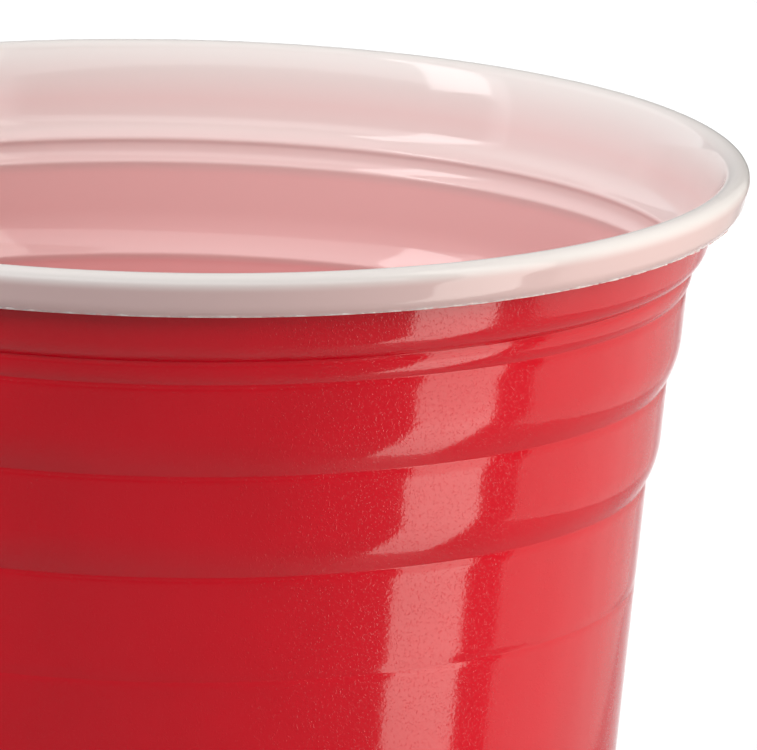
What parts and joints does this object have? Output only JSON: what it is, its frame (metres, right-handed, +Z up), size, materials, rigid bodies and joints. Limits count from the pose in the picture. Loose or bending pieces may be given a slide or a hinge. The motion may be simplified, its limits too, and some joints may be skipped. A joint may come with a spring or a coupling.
{
  "type": "party cup",
  "caption": "Tapered one-piece plastic party cup with a rolled rim, a flared neck, stepped grip bands and a pushed-up base, for holding a cold drink.",
  "frame": {"origin": "centre of the standing ring, on the surface that the cup stands on", "axes": "+Z up along the cup's axis; the cup is round, so X and Y are any two level directions"},
  "size_m": [0.095, 0.095, 0.12],
  "materials": {
    "cup_plastic": "glossy red outside, white inside"
  },
  "bodies": {
    "root": {"cup": "cup_plastic"}
  },
  "joints": []
}
